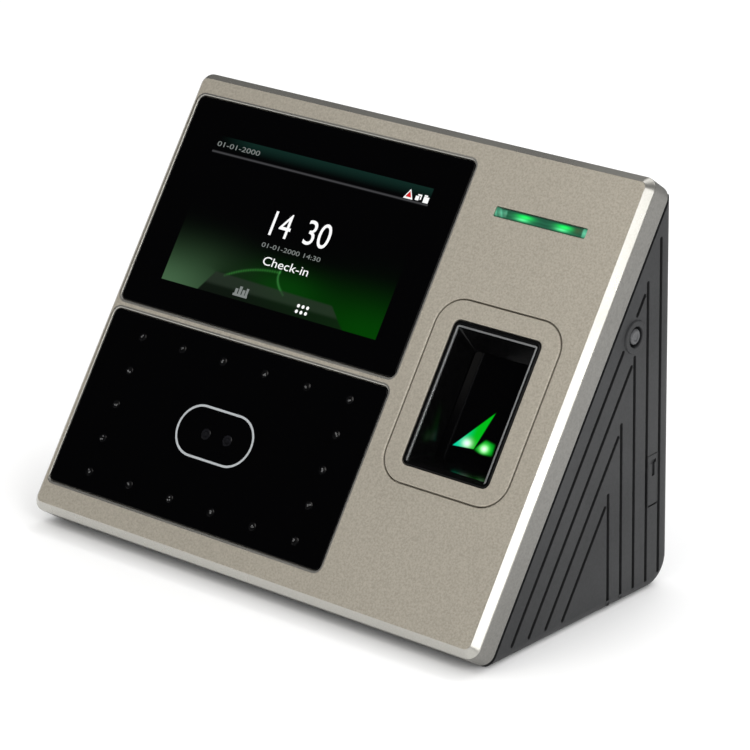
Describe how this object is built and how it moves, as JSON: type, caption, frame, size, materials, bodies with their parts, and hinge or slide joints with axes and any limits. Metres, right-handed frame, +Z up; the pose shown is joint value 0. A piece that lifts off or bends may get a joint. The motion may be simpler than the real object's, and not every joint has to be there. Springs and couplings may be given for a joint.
{
  "type": "fingerprint scanner terminal",
  "caption": "Desk or wall attendance terminal with touch screen, infrared camera window, status light bar and fingerprint reader on a sloping silver face over a dark wedge housing.",
  "frame": {"origin": "middle of the bounding box, on the surface it stands on", "axes": "+Z up, front towards -Y, +X to the right as seen from the front"},
  "size_m": [0.1936, 0.1067, 0.1433],
  "materials": {
    "silver_paint": "fine-grained metallic silver-grey paint on moulded plastic, satin",
    "black_glass": "black glossy cover glass over the lit display",
    "smoked_glass": "black infrared-pass window, glossy",
    "pale_trim": "thin pale metal line",
    "dark_moulding": "dark grey moulded plastic with fine spark texture",
    "gloss_moulding": "black moulded plastic, semi-gloss",
    "black_rubber": "soft black rubber, matt",
    "circuit_board": "green solder resist on glass-epoxy board",
    "bare_steel": "plated sheet steel, satin",
    "green_light": "clear light pipe lit green",
    "clear_glass": "optical glass block lit green",
    "terminal_green": "green moulded terminal block",
    "relay_blue": "blue sealed relay case",
    "battery_wrap": "blue shrink wrap over flat cells"
  },
  "bodies": {
    "housing": {"backup_battery": "battery_wrap", "board_screw_1": "bare_steel", "board_screw_2": "bare_steel", "board_screw_3": "bare_steel", "board_screw_4": "bare_steel", "camera_board": "circuit_board", "camera_ring": "pale_trim", "camera_window": "smoked_glass", "colour_camera": "gloss_moulding", "connector_bay": "dark_moulding", "dc_inlet": "gloss_moulding", "display_carrier": "bare_steel", "ethernet_socket": "bare_steel", "front_bezel": "silver_paint", "front_gasket": "black_rubber", "housing_screw_left": "bare_steel", "housing_screw_right": "bare_steel", "infrared_camera": "gloss_moulding", "ir_led_board": "circuit_board", "lcd_panel": "black_glass", "light_baffle": "gloss_moulding", "main_board": "circuit_board", "power_switch": "gloss_moulding", "power_terminal": "terminal_green", "processor_shield": "bare_steel", "reader_board": "circuit_board", "reader_body": "gloss_moulding", "reader_frame": "gloss_moulding", "reader_plate": "silver_paint", "reader_prism": "clear_glass", "reader_trim": "pale_trim", "rear_housing": "dark_moulding", "relay": "relay_blue", "reset_switch": "gloss_moulding", "side_board": "circuit_board", "signal_terminal": "terminal_green", "speaker": "gloss_moulding", "status_led_board": "circuit_board", "status_light_pipe": "green_light", "tamper_switch": "gloss_moulding", "touch_window": "black_glass", "usb_socket": "bare_steel", "wall_plate": "bare_steel", "wall_plate_screw": "bare_steel"},
    "power_button": {"power_button": "dark_moulding"},
    "usb_flap": {"usb_flap": "black_rubber"},
    "reset_button": {"reset_button": "gloss_moulding"},
    "tamper_plunger": {"tamper_plunger": "gloss_moulding"}
  },
  "joints": [
    {"name": "power_button_press", "type": "slide", "parent": "housing", "child": "power_button", "axis": [-1, 0, 0], "range_m": [0, 0.0012], "stiffness_N_per_m": 800, "springref_m": -0.0005},
    {"name": "usb_flap_hinge", "type": "hinge", "parent": "housing", "child": "usb_flap", "pos_m": [0.09545, 0.04214, 0.03087], "axis": [0, 0.998, 0.0628], "range_deg": [0, 95]},
    {"name": "reset_button_press", "type": "slide", "parent": "housing", "child": "reset_button", "axis": [0, -0.998, -0.0628], "range_m": [0, 0.0006], "stiffness_N_per_m": 1000, "springref_m": -0.0005},
    {"name": "tamper_plunger_press", "type": "slide", "parent": "housing", "child": "tamper_plunger", "axis": [0, -0.998, -0.0628], "range_m": [0, 0.0012], "stiffness_N_per_m": 400, "springref_m": -0.0005}
  ]
}
